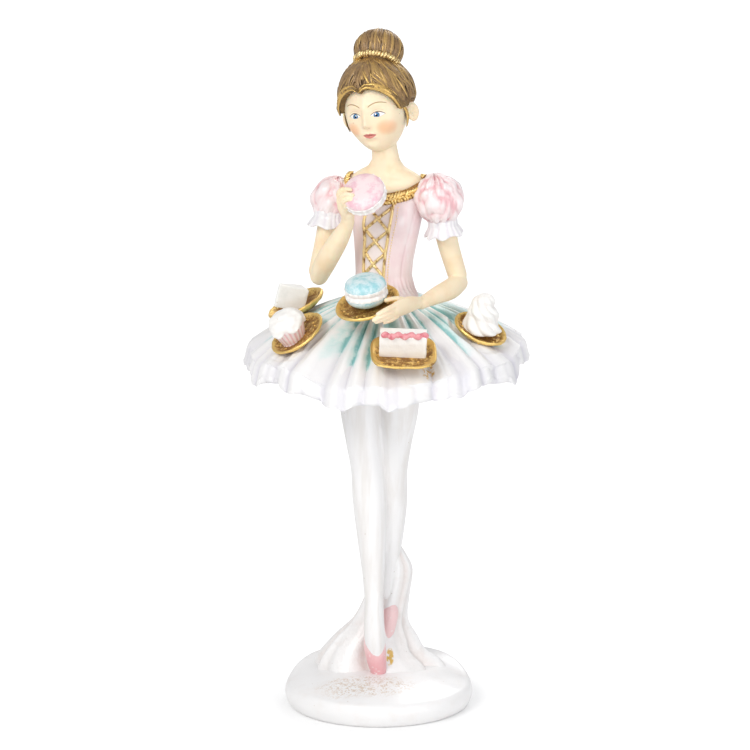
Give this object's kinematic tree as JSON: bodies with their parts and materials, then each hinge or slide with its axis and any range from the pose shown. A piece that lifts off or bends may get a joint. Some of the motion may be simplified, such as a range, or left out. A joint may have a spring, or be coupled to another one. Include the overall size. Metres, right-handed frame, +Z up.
{
  "type": "ballerina figurine",
  "caption": "Painted cast resin figurine of a ballerina on pointe on a round base, with plates of sweets on her tutu and a macaron in her raised hand.",
  "frame": {"origin": "centre of the flat underside of the round base", "axes": "+Z up, -Y towards the front, +X to the viewer's right"},
  "size_m": [0.1173, 0.1168, 0.2807],
  "materials": {
    "painted_resin": "satin paint over cast resin"
  },
  "bodies": {
    "root": {"ballerina_figurine": "painted_resin"}
  },
  "joints": []
}
